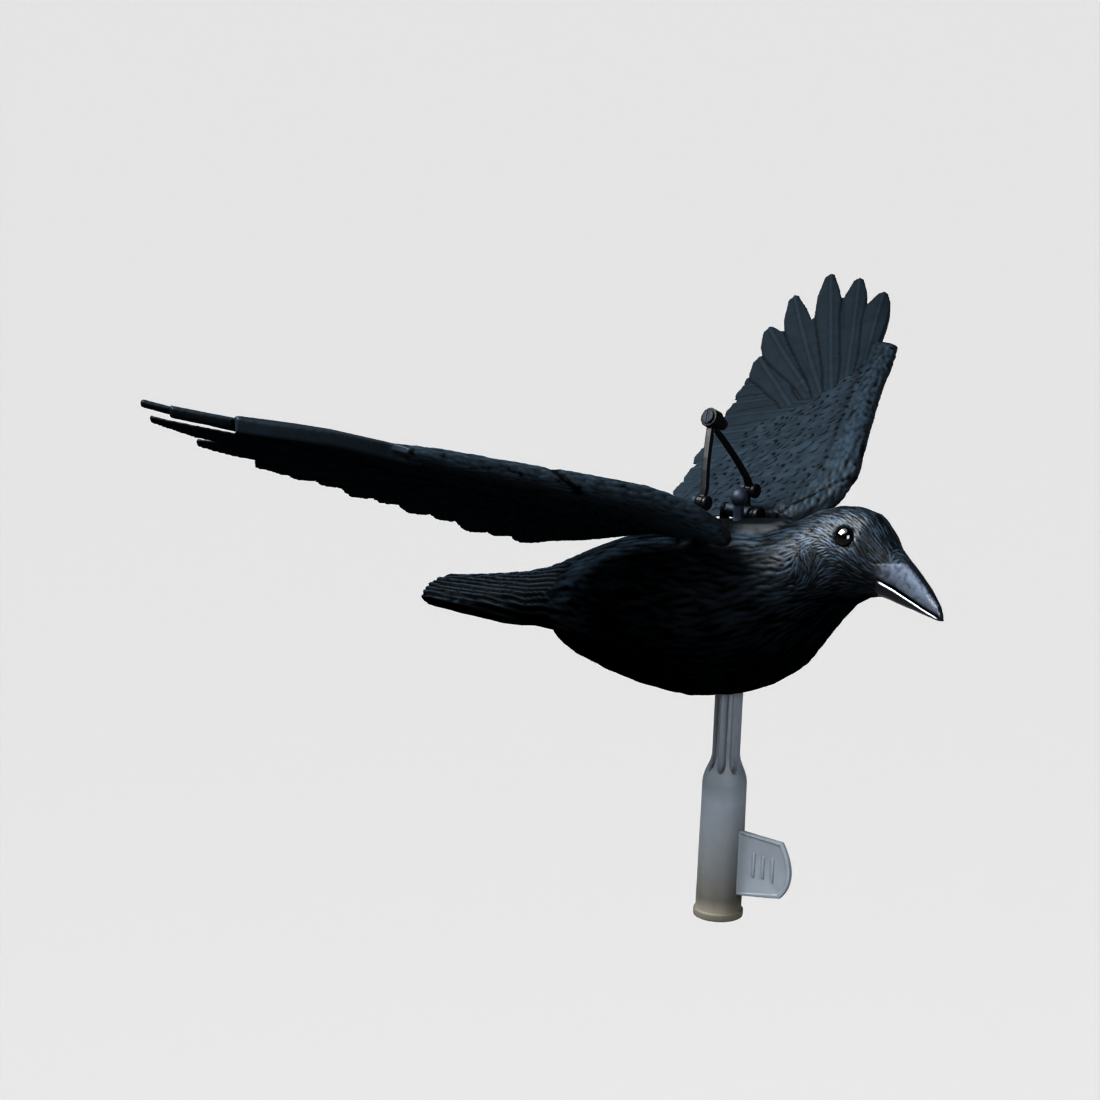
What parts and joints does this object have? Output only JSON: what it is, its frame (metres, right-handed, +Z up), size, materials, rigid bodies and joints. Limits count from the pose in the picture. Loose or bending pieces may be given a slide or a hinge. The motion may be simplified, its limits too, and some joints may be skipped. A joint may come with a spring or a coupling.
{
  "type": "crow decoy",
  "caption": "Flying black crow decoy on a grey pole socket, with hinged feathered wings raised and joined by two struts above its back.",
  "frame": {"origin": "centre of the pole socket's mouth, where the pole goes in", "axes": "+X forward to the beak, +Y to the bird's left wing, +Z up along the stem"},
  "size_m": [0.436, 0.7338, 0.3822],
  "materials": {
    "feather_black": "matte, moulded feather relief",
    "link_black": "satin",
    "hub_grey": "satin",
    "stem_grey": "satin, slightly cloudy",
    "eye_gloss": "glossy"
  },
  "bodies": {
    "stand": {"stem_socket": "stem_grey", "body": "feather_black", "eye_left": "eye_gloss", "eye_right": "eye_gloss", "hinge_pin_left": "link_black", "hinge_pin_right": "link_black"},
    "right_wing": {"wing_right": "feather_black", "foot_pin_right": "link_black"},
    "left_wing": {"wing_left": "feather_black", "foot_pin_left": "link_black"},
    "right_strut": {"strut_right": "link_black", "hub_pin": "hub_grey"},
    "left_strut": {"strut_left": "link_black"}
  },
  "joints": [
    {"name": "right_wing_hinge", "type": "hinge", "parent": "stand", "child": "right_wing", "pos_m": [-0.0176, -0.024, 0.28], "axis": [-1, 0, 0], "range_deg": [-15, 15]},
    {"name": "left_wing_hinge", "type": "hinge", "parent": "stand", "child": "left_wing", "pos_m": [-0.0176, 0.024, 0.28], "axis": [1, 0, 0], "range_deg": [-15, 15]},
    {"name": "right_strut_foot", "type": "hinge", "parent": "right_wing", "child": "right_strut", "pos_m": [-0.0115, -0.02678, 0.29576], "axis": [-1, 0, 0], "range_deg": [-20, 20]},
    {"name": "left_strut_foot", "type": "hinge", "parent": "left_wing", "child": "left_strut", "pos_m": [-0.0115, 0.02678, 0.29576], "axis": [1, 0, 0], "range_deg": [-20, 20]}
  ],
  "couplings": [
    {"joint": "left_wing_hinge", "follows": "right_wing_hinge", "ratio": 1},
    {"joint": "right_strut_foot", "follows": "right_wing_hinge", "ratio": -1.3168},
    {"joint": "left_strut_foot", "follows": "right_wing_hinge", "ratio": -1.3168}
  ]
}
